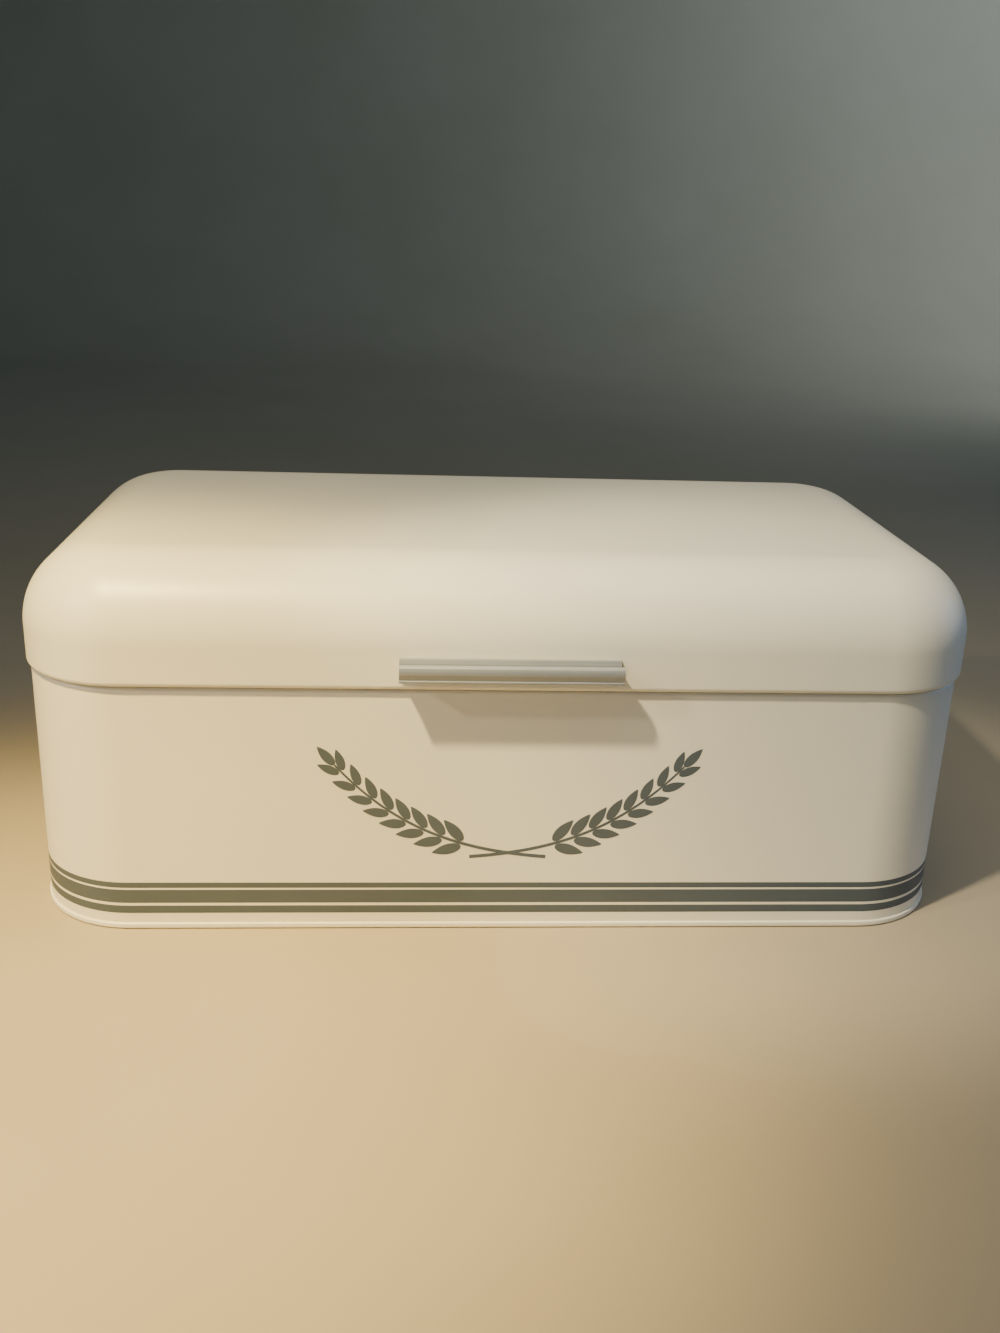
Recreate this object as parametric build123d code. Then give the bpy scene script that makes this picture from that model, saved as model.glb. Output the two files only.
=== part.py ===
from build123d import *
from math import cos, radians, sin
import os

# A bread box of sheet steel: a wrapped body on a crimped floor, a drawn lid on two
# stop hinges at the rear, and an aluminium finger pull at the front of the lid.
# Millimetres, +Z up, front towards -Y. The origin is on the floor, under the middle.

# Lid: plan size, heights and radii
LID_WIDTH = 420.0
LID_DEPTH = 222.0
LID_TOP = 168.0
LID_EDGE = 115.4
LID_CORNER = 45.0
LID_ROUNDOVER = 35.0
LID_CURL = 2.5
LID_CURL_STEP = 45.0
LID_CURL_STEPS = 5

# Sheet steel, with its coating
SHEET = 0.8

# Body: how far the lid overhangs it at the ends and along the front and rear, and its top flange
END_OVERHANG = 1.3
FRONT_OVERHANG = 2.7
BODY_RIM = 114.6
RIM_BEND = 1.6
RIM_FLANGE = 8.0
RIM_LIP = 3.0

# Floor: crimped bead round the foot of the wall
BEAD_BOTTOM = 0.3
BEAD_TOP = 3.0
BEAD_PROUD = 0.9
BEAD_CHAMFER = 0.5
FLOOR_UNDERSIDE = 5.0

# Printed bands: lower and upper edge of each
BAND_HEIGHTS = {
    "stripe_bottom": (7.8, 11.5),
    "stripe_middle": (12.9, 19.4),
    "stripe_top": (20.4, 23.0),
}
BAND_THICKNESS = 0.2

# Air holes in the rear wall
VENT_COUNT = 7
VENT_PITCH = 14.0
VENT_DIAMETER = 5.0
VENT_HEIGHT = 92.0

# Feet and soft pads
FOOT_X = 165.0
FOOT_Y = 72.0
FOOT_RADIUS = 8.0
BUMPER_X = 140.0
BUMPER_INSET = 3.4
BUMPER_RADIUS = 1.8
BUMPER_HEIGHT = 1.3

# Handle: an extrusion, with its profile given as distance out from the lid and height
HANDLE_LENGTH = 93.4
HANDLE_PLATE_FOOT = (1.2, 121.2)
HANDLE_PLATE_TOP = (0.9, 130.2)
HANDLE_PLATE_FRONT = (2.4, 127.6)
HANDLE_GROOVE = (3.4, 127.2)
HANDLE_CREST = (10.9, 130.7)
HANDLE_NOSE_MIDDLE = (11.7, 130.6)
HANDLE_NOSE = (12.0, 129.9)
HANDLE_LIP_FOOT = (12.2, 124.1)
HANDLE_BEAD_MIDDLE = (12.8, 123.4)
HANDLE_BEAD = (12.1, 122.7)
HANDLE_FINGER_MIDDLE = (6.5, 123.0)
HANDLE_UNDERSIDE = (2.0, 122.2)

# Screws and washers of the handle
SCREW_X = 34.0
SCREW_HEIGHT = 124.9
SCREW_RADIUS = 1.45
SCREW_BORE = 1.5
SCREW_DEPTH = 6.5
SCREW_BORE_DEPTH = 7.0
SCREW_HEAD_RADIUS = 2.8
SCREW_HEAD = 2.2
WASHER_RADIUS = 4.5
WASHER = 0.8
SCREW_CLEARANCE_HOLE = 1.7

# Hinges: one on each side of the middle, at the rear
HINGE_X = 130.0
HINGE_WIDTH = 40.0
LEAF = 1.2
BARREL_RADIUS = 2.6
PIN_RADIUS = 1.25
PIN_HEAD_RADIUS = 1.9
PIN_HEAD = 0.8
FIXED_BORE = 1.26
RUNNING_BORE = 1.3
CENTRE_KNUCKLE = 17.6
KNUCKLE_GAP = 0.2
BODY_LEAF_BOTTOM = 96.0
BODY_LEAF_TOP = 111.2
CRANK_BOTTOM = 107.5
CRANK_TOP = 110.6
CRANK_INNER_TOP = 111.1
LID_LEAF_BOTTOM = 118.8
LID_LEAF_TOP = 132.0
LEAF_CORNER = 3.0
TAIL_TIP = 9.5
TAIL_CLEAR = 3.1
TAIL_ROOT = 1.9
STOP_ANGLE = 100.0
STOP_MARGIN = 1.0
BODY_TAIL_ANGLE = -45.0

# Rivets of the hinge leaves
RIVET_SPREAD = 12.0
RIVET_RADIUS = 1.6
RIVET_HOLE = 1.65
RIVET_HEAD_RADIUS = 3.2
RIVET_HEAD = 1.3
RIVET_TAIL_RADIUS = 2.8
RIVET_TAIL = 0.8
BODY_RIVET_HEIGHT = 102.0
LID_RIVET_HEIGHT = 126.0

# Sizes that follow from those above
BODY_WIDTH = LID_WIDTH - 2 * END_OVERHANG
BODY_DEPTH = LID_DEPTH - 2 * FRONT_OVERHANG
BODY_CORNER = LID_CORNER - END_OVERHANG
WALL_FOOT = BEAD_BOTTOM + SHEET
LID_FRONT = -LID_DEPTH / 2
LID_BACK = LID_DEPTH / 2
BODY_BACK = BODY_DEPTH / 2
HINGE_AXIS_Y = LID_BACK + BARREL_RADIUS
HINGE_AXIS_Z = (BODY_RIM + LID_EDGE) / 2
LID_TAIL_ANGLE = BODY_TAIL_ANGLE + STOP_ANGLE + STOP_MARGIN
SIDES = {"left": -1, "right": 1}


def plan(inset, width, depth, corner):
    """A rounded rectangle drawn in from an outline."""
    return RectangleRounded(width - 2 * inset, depth - 2 * inset, corner - inset)


def slab(shape, bottom, top):
    """A plan shape raised from one height to another."""
    return Pos(0, 0, bottom) * extrude(shape, top - bottom)


def wrap(section, width, depth, corner):
    """Carry a section round a rounded rectangle: four straight runs and four turned corners.

    The section lies in XZ, with x = 0 on the outline and +x outwards.
    """
    half_x = width / 2 - corner
    half_y = depth / 2 - corner
    turned = revolve(Pos(corner, 0, 0) * section, Axis.Z, 90)
    end_run = extrude(Pos(width / 2, 0, 0) * section, half_y, both=True)
    long_run = Rot(0, 0, 90) * extrude(Pos(depth / 2, 0, 0) * section, half_x, both=True)
    ring = Pos(half_x, half_y, 0) * turned
    ring += Pos(-half_x, half_y, 0) * Rot(0, 0, 90) * turned
    ring += Pos(-half_x, -half_y, 0) * Rot(0, 0, 180) * turned
    ring += Pos(half_x, -half_y, 0) * Rot(0, 0, 270) * turned
    for half_turn in (0, 180):
        ring += Rot(0, 0, half_turn) * end_run
        ring += Rot(0, 0, half_turn) * long_run
    return ring


def rod(radius, start, end, x=0.0, z=0.0):
    """A round rod along Y, from one depth to another."""
    return Pos(x, (start + end) / 2, z) * Rot(90, 0, 0) * Cylinder(radius, abs(end - start))


def bar(radius, start, end, y, z):
    """A round rod along X, from one place to another."""
    return Pos((start + end) / 2, y, z) * Rot(0, 90, 0) * Cylinder(radius, end - start)


def sheet_section(outside):
    """The section of bent sheet, from the line of its outer side, with the sheet on its left."""
    with BuildSketch(Plane.XZ) as section:
        with BuildLine():
            add(outside)
            offset(amount=SHEET, side=Side.LEFT, kind=Kind.INTERSECTION)
        make_face()
    return section.sketch


def body_wall():
    """The wrapped wall: bent in at the top as a flange, with a turned-down lip at the mouth."""
    outside = Polyline(
        (0, WALL_FOOT),
        (0, BODY_RIM - RIM_BEND),
        (-RIM_BEND, BODY_RIM),
        (-RIM_FLANGE, BODY_RIM),
        (-RIM_FLANGE, BODY_RIM - RIM_LIP),
    )
    wall = wrap(sheet_section(outside), BODY_WIDTH, BODY_DEPTH, BODY_CORNER)
    for place in range(VENT_COUNT):
        x = (place - (VENT_COUNT - 1) / 2) * VENT_PITCH
        wall -= rod(VENT_DIAMETER / 2, BODY_BACK - 3 * SHEET, BODY_BACK + SHEET, x, VENT_HEIGHT)
    for x in hinge_rivet_places():
        wall -= rod(RIVET_HOLE, BODY_BACK - 3 * SHEET, BODY_BACK + SHEET, x, BODY_RIVET_HEIGHT)
    return wall


def base_pan():
    """The floor: set up inside the wall, with its edge crimped round the foot of the wall."""
    floor_top = FLOOR_UNDERSIDE + SHEET
    flange_inside = -2 * SHEET
    with BuildSketch(Plane.XZ) as section:
        Polygon(
            (flange_inside, floor_top),
            (-SHEET, floor_top),
            (-SHEET, WALL_FOOT),
            (0, WALL_FOOT),
            (0, BEAD_TOP),
            (BEAD_PROUD - BEAD_CHAMFER, BEAD_TOP),
            (BEAD_PROUD, BEAD_TOP - BEAD_CHAMFER),
            (BEAD_PROUD, BEAD_BOTTOM + BEAD_CHAMFER),
            (BEAD_PROUD - BEAD_CHAMFER, BEAD_BOTTOM),
            (flange_inside, BEAD_BOTTOM),
            align=None,
        )
    crimp = wrap(section.sketch, BODY_WIDTH, BODY_DEPTH, BODY_CORNER)
    floor_plan = plan(1.5 * SHEET, BODY_WIDTH, BODY_DEPTH, BODY_CORNER)
    return crimp + slab(floor_plan, FLOOR_UNDERSIDE, floor_top)


def printed_band(bottom, top):
    """A thin printed band round the body."""
    with BuildSketch(Plane.XZ) as section:
        with Locations((BAND_THICKNESS / 2, (bottom + top) / 2)):
            Rectangle(BAND_THICKNESS, top - bottom)
    return wrap(section.sketch, BODY_WIDTH, BODY_DEPTH, BODY_CORNER)


def lid_shell():
    """The drawn lid: a flat crown, a big round-over, and a lower edge curled in by short bends."""
    turns = [-radians(step * LID_CURL_STEP) for step in range(LID_CURL_STEPS, -1, -1)]
    curl = [(LID_CURL * (cos(turn) - 1), LID_EDGE + LID_CURL * (sin(turn) + 1)) for turn in turns]
    shoulder = (0, LID_TOP - LID_ROUNDOVER)
    outside = Polyline(*curl, shoulder)
    outside += RadiusArc(shoulder, (-LID_ROUNDOVER, LID_TOP), -LID_ROUNDOVER)
    lid = wrap(sheet_section(outside), LID_WIDTH, LID_DEPTH, LID_CORNER)
    lid += slab(plan(LID_ROUNDOVER, LID_WIDTH, LID_DEPTH, LID_CORNER), LID_TOP - SHEET, LID_TOP)
    for x in hinge_rivet_places():
        lid -= rod(RIVET_HOLE, LID_BACK - 3 * SHEET, LID_BACK + SHEET, x, LID_RIVET_HEIGHT)
    for x in (-SCREW_X, SCREW_X):
        lid -= rod(SCREW_CLEARANCE_HOLE, LID_FRONT - SHEET, LID_FRONT + 3 * SHEET, x, SCREW_HEIGHT)
    return lid


def handle():
    """The finger pull: a back plate, a groove, and a lip that stands out to the front."""
    with BuildSketch(Plane.XZ) as profile:
        with BuildLine():
            Polyline(
                (0, HANDLE_PLATE_FOOT[1]),
                (0, HANDLE_PLATE_TOP[1]),
                HANDLE_PLATE_TOP,
                HANDLE_PLATE_FRONT,
                HANDLE_GROOVE,
                HANDLE_CREST,
            )
            ThreePointArc(HANDLE_CREST, HANDLE_NOSE_MIDDLE, HANDLE_NOSE)
            Line(HANDLE_NOSE, HANDLE_LIP_FOOT)
            ThreePointArc(HANDLE_LIP_FOOT, HANDLE_BEAD_MIDDLE, HANDLE_BEAD)
            ThreePointArc(HANDLE_BEAD, HANDLE_FINGER_MIDDLE, HANDLE_UNDERSIDE)
            Polyline(HANDLE_UNDERSIDE, HANDLE_PLATE_FOOT, (0, HANDLE_PLATE_FOOT[1]))
        make_face()
    facing_front = Pos(0, LID_FRONT, 0) * Rot(0, 0, -90)
    pull = facing_front * extrude(profile.sketch, HANDLE_LENGTH / 2, both=True)
    for side in SIDES.values():
        pull -= rod(SCREW_BORE, LID_FRONT, LID_FRONT - SCREW_BORE_DEPTH, side * SCREW_X, SCREW_HEIGHT)
    return pull


def handle_washer(x):
    """A flat washer against the inside of the lid."""
    start = LID_FRONT + SHEET
    ring = rod(WASHER_RADIUS, start, start + WASHER, x, SCREW_HEIGHT)
    return ring - rod(SCREW_CLEARANCE_HOLE, start, start + WASHER, x, SCREW_HEIGHT)


def handle_screw(x):
    """A screw put in from inside the lid, through the washer and into the handle."""
    seat = LID_FRONT + SHEET + WASHER
    head = rod(SCREW_HEAD_RADIUS, seat, seat + SCREW_HEAD, x, SCREW_HEIGHT)
    return head + rod(SCREW_RADIUS, LID_FRONT - SCREW_DEPTH, seat, x, SCREW_HEIGHT)


def hinge_rivet_places():
    """Where the rivets of both hinges stand along X."""
    return [
        side * HINGE_X + spread
        for side in SIDES.values()
        for spread in (-RIVET_SPREAD, RIVET_SPREAD)
    ]


def leaf_plate(back, bottom, top, rounded_end):
    """A flat hinge leaf against a wall, rounded at its free end and drilled for its rivets."""
    plate = Pos(0, back + LEAF / 2, (bottom + top) / 2) * Box(HINGE_WIDTH, LEAF, top - bottom)
    corners = plate.edges().filter_by(Axis.Y).group_by(Axis.Z)[rounded_end]
    return fillet(corners, LEAF_CORNER)


def stop_tail(angle, root, width, underneath):
    """A stop tail: a tongue whose stop face lies on a line out from the hinge axis."""
    direction = Vector(0, cos(radians(angle)), sin(radians(angle)))
    plane = Plane(origin=(0, HINGE_AXIS_Y, HINGE_AXIS_Z), x_dir=(1, 0, 0), z_dir=direction)
    side = 1 if underneath else -1
    tongue = Pos(0, side * LEAF / 2, (root + TAIL_TIP) / 2) * Box(width, LEAF, TAIL_TIP - root)
    return plane * tongue


def outer_knuckles():
    """Where the two knuckles of the body's leaf start and end along X."""
    inner_end = CENTRE_KNUCKLE / 2 + KNUCKLE_GAP
    return [(-HINGE_WIDTH / 2, -inner_end), (inner_end, HINGE_WIDTH / 2)]


def hinge_body_leaf():
    """The fixed leaf: cranked out to two knuckles, with a stop tail across the hinge."""
    leaf = leaf_plate(BODY_BACK, BODY_LEAF_BOTTOM, BODY_LEAF_TOP, 0)
    with BuildSketch(Plane.YZ) as crank:
        Polygon(
            (BODY_BACK, CRANK_BOTTOM),
            (BODY_BACK + LEAF, CRANK_BOTTOM),
            (LID_BACK + LEAF, CRANK_TOP),
            (LID_BACK + LEAF, HINGE_AXIS_Z),
            (LID_BACK, HINGE_AXIS_Z),
            (LID_BACK, CRANK_INNER_TOP),
            align=None,
        )
    tail = stop_tail(BODY_TAIL_ANGLE, TAIL_ROOT, HINGE_WIDTH, underneath=True)
    half_gap = CENTRE_KNUCKLE / 2 + KNUCKLE_GAP
    leaf += tail - bar(TAIL_CLEAR, -half_gap, half_gap, HINGE_AXIS_Y, HINGE_AXIS_Z)
    for start, end in outer_knuckles():
        leaf += Pos(start, 0, 0) * extrude(crank.sketch, end - start)
        leaf += bar(BARREL_RADIUS, start, end, HINGE_AXIS_Y, HINGE_AXIS_Z)
    leaf -= bar(FIXED_BORE, -HINGE_WIDTH, HINGE_WIDTH, HINGE_AXIS_Y, HINGE_AXIS_Z)
    for spread in (-RIVET_SPREAD, RIVET_SPREAD):
        leaf -= rod(RIVET_HOLE, BODY_BACK - SHEET, BODY_BACK + 2 * LEAF, spread, BODY_RIVET_HEIGHT)
    return leaf


def hinge_lid_leaf():
    """The moving leaf: one knuckle in the middle, with a stop tail that meets the fixed one."""
    leaf = leaf_plate(LID_BACK, LID_LEAF_BOTTOM, LID_LEAF_TOP, -1)
    tab_height = LID_LEAF_BOTTOM - HINGE_AXIS_Z
    tab = Box(CENTRE_KNUCKLE, LEAF, tab_height)
    leaf += Pos(0, LID_BACK + LEAF / 2, HINGE_AXIS_Z + tab_height / 2) * tab
    leaf += bar(BARREL_RADIUS, -CENTRE_KNUCKLE / 2, CENTRE_KNUCKLE / 2, HINGE_AXIS_Y, HINGE_AXIS_Z)
    leaf += stop_tail(LID_TAIL_ANGLE, TAIL_ROOT, CENTRE_KNUCKLE, underneath=False)
    leaf -= bar(RUNNING_BORE, -CENTRE_KNUCKLE, CENTRE_KNUCKLE, HINGE_AXIS_Y, HINGE_AXIS_Z)
    for spread in (-RIVET_SPREAD, RIVET_SPREAD):
        leaf -= rod(RIVET_HOLE, LID_BACK - SHEET, LID_BACK + 2 * LEAF, spread, LID_RIVET_HEIGHT)
    return leaf


def hinge_pin():
    """A plain pin, upset at both ends so that it stays in the fixed knuckles."""
    half = HINGE_WIDTH / 2
    pin = bar(PIN_RADIUS, -half, half, HINGE_AXIS_Y, HINGE_AXIS_Z)
    pin += bar(PIN_HEAD_RADIUS, -half - PIN_HEAD, -half, HINGE_AXIS_Y, HINGE_AXIS_Z)
    pin += bar(PIN_HEAD_RADIUS, half, half + PIN_HEAD, HINGE_AXIS_Y, HINGE_AXIS_Z)
    return pin


def rivet_pair(wall_back, height):
    """Two rivets through a leaf and the wall that carries it, with a head at each end."""
    head_seat = wall_back + LEAF
    tail_seat = wall_back - SHEET
    pair = Part()
    for spread in (-RIVET_SPREAD, RIVET_SPREAD):
        head = rod(RIVET_HEAD_RADIUS, head_seat, head_seat + RIVET_HEAD, spread, height)
        shank = rod(RIVET_RADIUS, tail_seat, head_seat, spread, height)
        tail = rod(RIVET_TAIL_RADIUS, tail_seat - RIVET_TAIL, tail_seat, spread, height)
        pair += head + shank + tail
    return pair


def foot(x, y):
    """A rubber foot under the floor, which stands a little lower than the bead."""
    return Pos(x, y, FLOOR_UNDERSIDE / 2) * Cylinder(FOOT_RADIUS, FLOOR_UNDERSIDE)


def rim_bumper(x):
    """A soft pad on the front of the top flange, under the curled edge of the lid."""
    y = -BODY_DEPTH / 2 + BUMPER_INSET
    return Pos(x, y, BODY_RIM + BUMPER_HEIGHT / 2) * Cylinder(BUMPER_RADIUS, BUMPER_HEIGHT)


def all_pieces():
    """Every piece of the bread box, by name."""
    pieces = {
        "body_wall": body_wall(),
        "base_pan": base_pan(),
        "lid_shell": lid_shell(),
        "handle": handle(),
    }
    for name, (bottom, top) in BAND_HEIGHTS.items():
        pieces[name] = printed_band(bottom, top)
    for side, sign in SIDES.items():
        at_hinge = Pos(sign * HINGE_X, 0, 0)
        pieces[f"hinge_body_leaf_{side}"] = at_hinge * hinge_body_leaf()
        pieces[f"hinge_lid_leaf_{side}"] = at_hinge * hinge_lid_leaf()
        pieces[f"hinge_pin_{side}"] = at_hinge * hinge_pin()
        pieces[f"body_rivets_{side}"] = at_hinge * rivet_pair(BODY_BACK, BODY_RIVET_HEIGHT)
        pieces[f"lid_rivets_{side}"] = at_hinge * rivet_pair(LID_BACK, LID_RIVET_HEIGHT)
        pieces[f"handle_screw_{side}"] = handle_screw(sign * SCREW_X)
        pieces[f"handle_washer_{side}"] = handle_washer(sign * SCREW_X)
        pieces[f"rim_bumper_{side}"] = rim_bumper(sign * BUMPER_X)
        pieces[f"foot_front_{side}"] = foot(sign * FOOT_X, -FOOT_Y)
        pieces[f"foot_rear_{side}"] = foot(sign * FOOT_X, FOOT_Y)
    return pieces


os.makedirs("parts", exist_ok=True)
for node, shape in all_pieces().items():
    export_step(shape, f"parts/{node}.step")
    print(f"{node}: {len(shape.solids())} solid(s), {shape.volume:.0f} mm3")
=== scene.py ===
# %% [markdown]
# # A bread box with a lift-up lid
# The box is bent and drawn from sheet steel, coated warm white, with printed bands round its foot
# and an aluminium pull on the lid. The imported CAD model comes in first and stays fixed: it says how
# big each piece is and where it sits. This file then gives each piece its finished form and finish.

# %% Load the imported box
import bmesh
import bpy
import math
from mathutils import Matrix, Vector


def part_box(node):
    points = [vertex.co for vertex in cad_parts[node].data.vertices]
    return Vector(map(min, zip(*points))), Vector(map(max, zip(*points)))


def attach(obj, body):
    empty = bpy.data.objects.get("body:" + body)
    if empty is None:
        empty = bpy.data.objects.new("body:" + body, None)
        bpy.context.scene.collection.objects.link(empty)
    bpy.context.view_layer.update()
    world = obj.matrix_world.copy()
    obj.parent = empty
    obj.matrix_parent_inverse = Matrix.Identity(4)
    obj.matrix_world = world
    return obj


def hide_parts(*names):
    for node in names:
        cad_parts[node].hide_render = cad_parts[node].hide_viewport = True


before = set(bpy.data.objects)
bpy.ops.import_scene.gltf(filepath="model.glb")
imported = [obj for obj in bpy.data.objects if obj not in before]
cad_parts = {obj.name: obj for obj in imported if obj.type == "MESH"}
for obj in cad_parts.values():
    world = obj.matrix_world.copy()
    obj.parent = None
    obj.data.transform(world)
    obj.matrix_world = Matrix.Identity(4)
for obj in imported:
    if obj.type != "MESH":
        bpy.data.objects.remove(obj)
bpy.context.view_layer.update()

MM = 0.001
SIDES = ("left", "right")

# %% [markdown]
# ## Bench tools
# Every piece below starts as a primitive and is shaped in edit mode, as by hand. With no window to
# click in, faces and edges are picked by a test on their place or direction. A handful of helpers
# keeps each later step short: one adds a block between two corners, one picks, one rounds edges, one
# raises faces, and one applies a modifier.

# %% Helpers that shape a piece
NEAR = 0.02 * MM


def deselect_all():
    """Leave edit mode and deselect everything, because operators act on all that is selected."""
    if bpy.context.mode != "OBJECT":
        bpy.ops.object.mode_set(mode="OBJECT")
    bpy.ops.object.select_all(action="DESELECT")


def make_active(piece):
    """Select one piece alone and make it the active one."""
    deselect_all()
    piece.select_set(True)
    bpy.context.view_layer.objects.active = piece


def add_block(name, low, high):
    """A box between two corners, left in edit mode."""
    deselect_all()
    low, high = Vector(low), Vector(high)
    bpy.ops.mesh.primitive_cube_add(size=1, location=(low + high) / 2)
    block = bpy.context.object
    block.name = block.data.name = name
    block.scale = high - low
    bpy.ops.object.transform_apply(location=True, rotation=True, scale=True)
    bpy.ops.object.mode_set(mode="EDIT")
    return block


def pick(kind, test):
    """In edit mode, select the vertices, edges or faces that pass a test, and nothing else."""
    bpy.ops.mesh.select_mode(type=kind)
    bpy.ops.mesh.select_all(action="DESELECT")
    mesh = bpy.context.edit_object.data
    shape = bmesh.from_edit_mesh(mesh)
    parts = {"VERT": shape.verts, "EDGE": shape.edges, "FACE": shape.faces}[kind]
    chosen = [part for part in parts if test(part)]
    for part in chosen:
        part.select_set(True)
    shape.select_flush_mode()
    bmesh.update_edit_mesh(mesh)
    return len(chosen)


def upright(edge):
    """Whether an edge stands straight up."""
    along = edge.verts[1].co - edge.verts[0].co
    return abs(along.z) > NEAR and Vector((along.x, along.y)).length < NEAR


def level_at(height):
    """A test for edges and faces that lie flat at a height."""
    return lambda part: all(abs(vert.co.z - height) < NEAR for vert in part.verts)


def round_edges(test, radius, segments):
    """Round the edges that pass a test."""
    pick("EDGE", test)
    bpy.ops.mesh.bevel(offset=radius, segments=segments, affect="EDGES", clamp_overlap=False)


def inset(thickness):
    """Draw the selected face in from its edge."""
    bpy.ops.mesh.inset(thickness=thickness, depth=0, use_even_offset=True)


def raise_by(x=0.0, y=0.0, z=0.0):
    """Extrude what is selected, and move it."""
    move = {"value": (x, y, z), "orient_type": "GLOBAL"}
    bpy.ops.mesh.extrude_region_move(TRANSFORM_OT_translate=move)


def apply_modifier(piece, kind, **settings):
    """Add a modifier with its settings, and apply it."""
    make_active(piece)
    modifier = piece.modifiers.new(kind.title(), kind)
    for name, value in settings.items():
        setattr(modifier, name, value)
    bpy.ops.object.modifier_apply(modifier=modifier.name)


SOFT_ANGLE = 35
CRISP_ANGLE = 30
FLATS_FIRST = 100


def smooth(piece, angle=SOFT_ANGLE):
    """Smooth the round faces, keep the corners crisp, and keep the flats flat."""
    make_active(piece)
    bpy.ops.object.shade_smooth_by_angle(angle=math.radians(angle))
    apply_modifier(piece, "WEIGHTED_NORMAL", keep_sharp=True, weight=FLATS_FIRST)


def finish_piece(piece, body, slot, material, *nodes):
    """Give a piece its finish, set it on the body that carries it, and let it stand for CAD nodes."""
    deselect_all()
    piece.data.materials.clear()
    piece.data.materials.append(material)
    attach(piece, body)
    if nodes:
        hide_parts(*nodes)
    low = [round(min(v.co[i] for v in piece.data.vertices) / MM, 1) for i in range(3)]
    high = [round(max(v.co[i] for v in piece.data.vertices) / MM, 1) for i in range(3)]
    print(f"{piece.name}: {len(piece.data.polygons)} faces, {low} to {high} mm")


# %% [markdown]
# ## Shared surface effects
# Two effects are used by several finishes, so each is a node group with its own inputs. Coated steel
# is never a flat colour: the powder melts into a fine orange peel, and the tone drifts a little over
# a hand's width. Drawn and rolled metal carries fine lines in one direction. Both groups read Object
# coordinates, so the patterns stay on the steel when the lid turns.

# %% Node groups
def new_group(name, inputs, outputs):
    """An empty node group with named sockets."""
    group = bpy.data.node_groups.new(name, "ShaderNodeTree")
    for socket, value in inputs.items():
        made = group.interface.new_socket(socket, in_out="INPUT", socket_type="NodeSocketFloat")
        made.default_value = value
    for socket in outputs:
        group.interface.new_socket(socket, in_out="OUTPUT", socket_type="NodeSocketFloat")
    source = group.nodes.new("NodeGroupInput")
    sink = group.nodes.new("NodeGroupOutput")
    return group, source, sink


def noise_node(tree, vector, scale, detail, roughness=0.5):
    """A noise texture on a vector."""
    noise = tree.nodes.new("ShaderNodeTexNoise")
    noise.inputs["Detail"].default_value = detail
    noise.inputs["Roughness"].default_value = roughness
    tree.links.new(vector, noise.inputs["Vector"])
    if isinstance(scale, float):
        noise.inputs["Scale"].default_value = scale
    else:
        tree.links.new(scale, noise.inputs["Scale"])
    return noise.outputs["Fac"]


def coat_texture():
    """Powder coat: a fine peel and a slow drift of tone."""
    group, source, sink = new_group(
        "coat texture", {"Peel Scale": 700.0, "Drift Scale": 9.0}, ["Peel", "Drift"]
    )
    place = group.nodes.new("ShaderNodeTexCoord").outputs["Object"]
    link = group.links.new
    link(noise_node(group, place, source.outputs["Peel Scale"], 2.0), sink.inputs["Peel"])
    link(noise_node(group, place, source.outputs["Drift Scale"], 3.0, 0.6), sink.inputs["Drift"])
    return group


def drawn_lines():
    """Fine lines along one direction, as drawn, rolled or brushed metal has."""
    group, source, sink = new_group(
        "drawn lines", {"Along": 6.0, "Across": 2600.0, "Up": 2600.0}, ["Lines", "Smudge"]
    )
    place = group.nodes.new("ShaderNodeTexCoord").outputs["Object"]
    link = group.links.new
    stretch = group.nodes.new("ShaderNodeCombineXYZ")
    for socket, axis in (("Along", "X"), ("Across", "Y"), ("Up", "Z")):
        link(source.outputs[socket], stretch.inputs[axis])
    scaled = group.nodes.new("ShaderNodeVectorMath")
    scaled.operation = "MULTIPLY"
    link(place, scaled.inputs[0])
    link(stretch.outputs["Vector"], scaled.inputs[1])
    link(noise_node(group, scaled.outputs["Vector"], 1.0, 3.0), sink.inputs["Lines"])
    link(noise_node(group, place, 60.0, 3.0, 0.6), sink.inputs["Smudge"])
    return group


COAT_TEXTURE = coat_texture()
DRAWN_LINES = drawn_lines()
print("groups:", COAT_TEXTURE.name, "and", DRAWN_LINES.name)

# %% [markdown]
# ## Finishes
# Each finish is one Principled shader. What is the same all over is set on the shader itself, and
# only what changes over the surface is wired in from a group. The tones follow the photograph: the
# coat is a warm white that warm lamps turn to cream, and the print is a slate grey that they turn to
# olive.

# %% Materials
def new_material(name, color, roughness, metallic=0.0):
    """A Principled material, with its node tree and its shader."""
    material = bpy.data.materials.new(name)
    material.use_nodes = True
    shader = material.node_tree.nodes["Principled BSDF"]
    shader.inputs["Base Color"].default_value = (*color, 1)
    shader.inputs["Roughness"].default_value = roughness
    shader.inputs["Metallic"].default_value = metallic
    return material, material.node_tree, shader


def place_group(tree, group, **values):
    """Place a shared effect in a material, with its own values."""
    node = tree.nodes.new("ShaderNodeGroup")
    node.node_tree = group
    for name, value in values.items():
        node.inputs[name.replace("_", " ")].default_value = value
    return node


NOISE_LOW = 0.3
NOISE_HIGH = 0.7


def vary_color(tree, shader, mask, dark, light):
    """Let the base colour drift between two tones."""
    ramp = tree.nodes.new("ShaderNodeValToRGB")
    ramp.color_ramp.elements[0].position = NOISE_LOW
    ramp.color_ramp.elements[1].position = NOISE_HIGH
    ramp.color_ramp.elements[0].color = (*dark, 1)
    ramp.color_ramp.elements[1].color = (*light, 1)
    tree.links.new(mask, ramp.inputs["Fac"])
    tree.links.new(ramp.outputs["Color"], shader.inputs["Base Color"])


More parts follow.
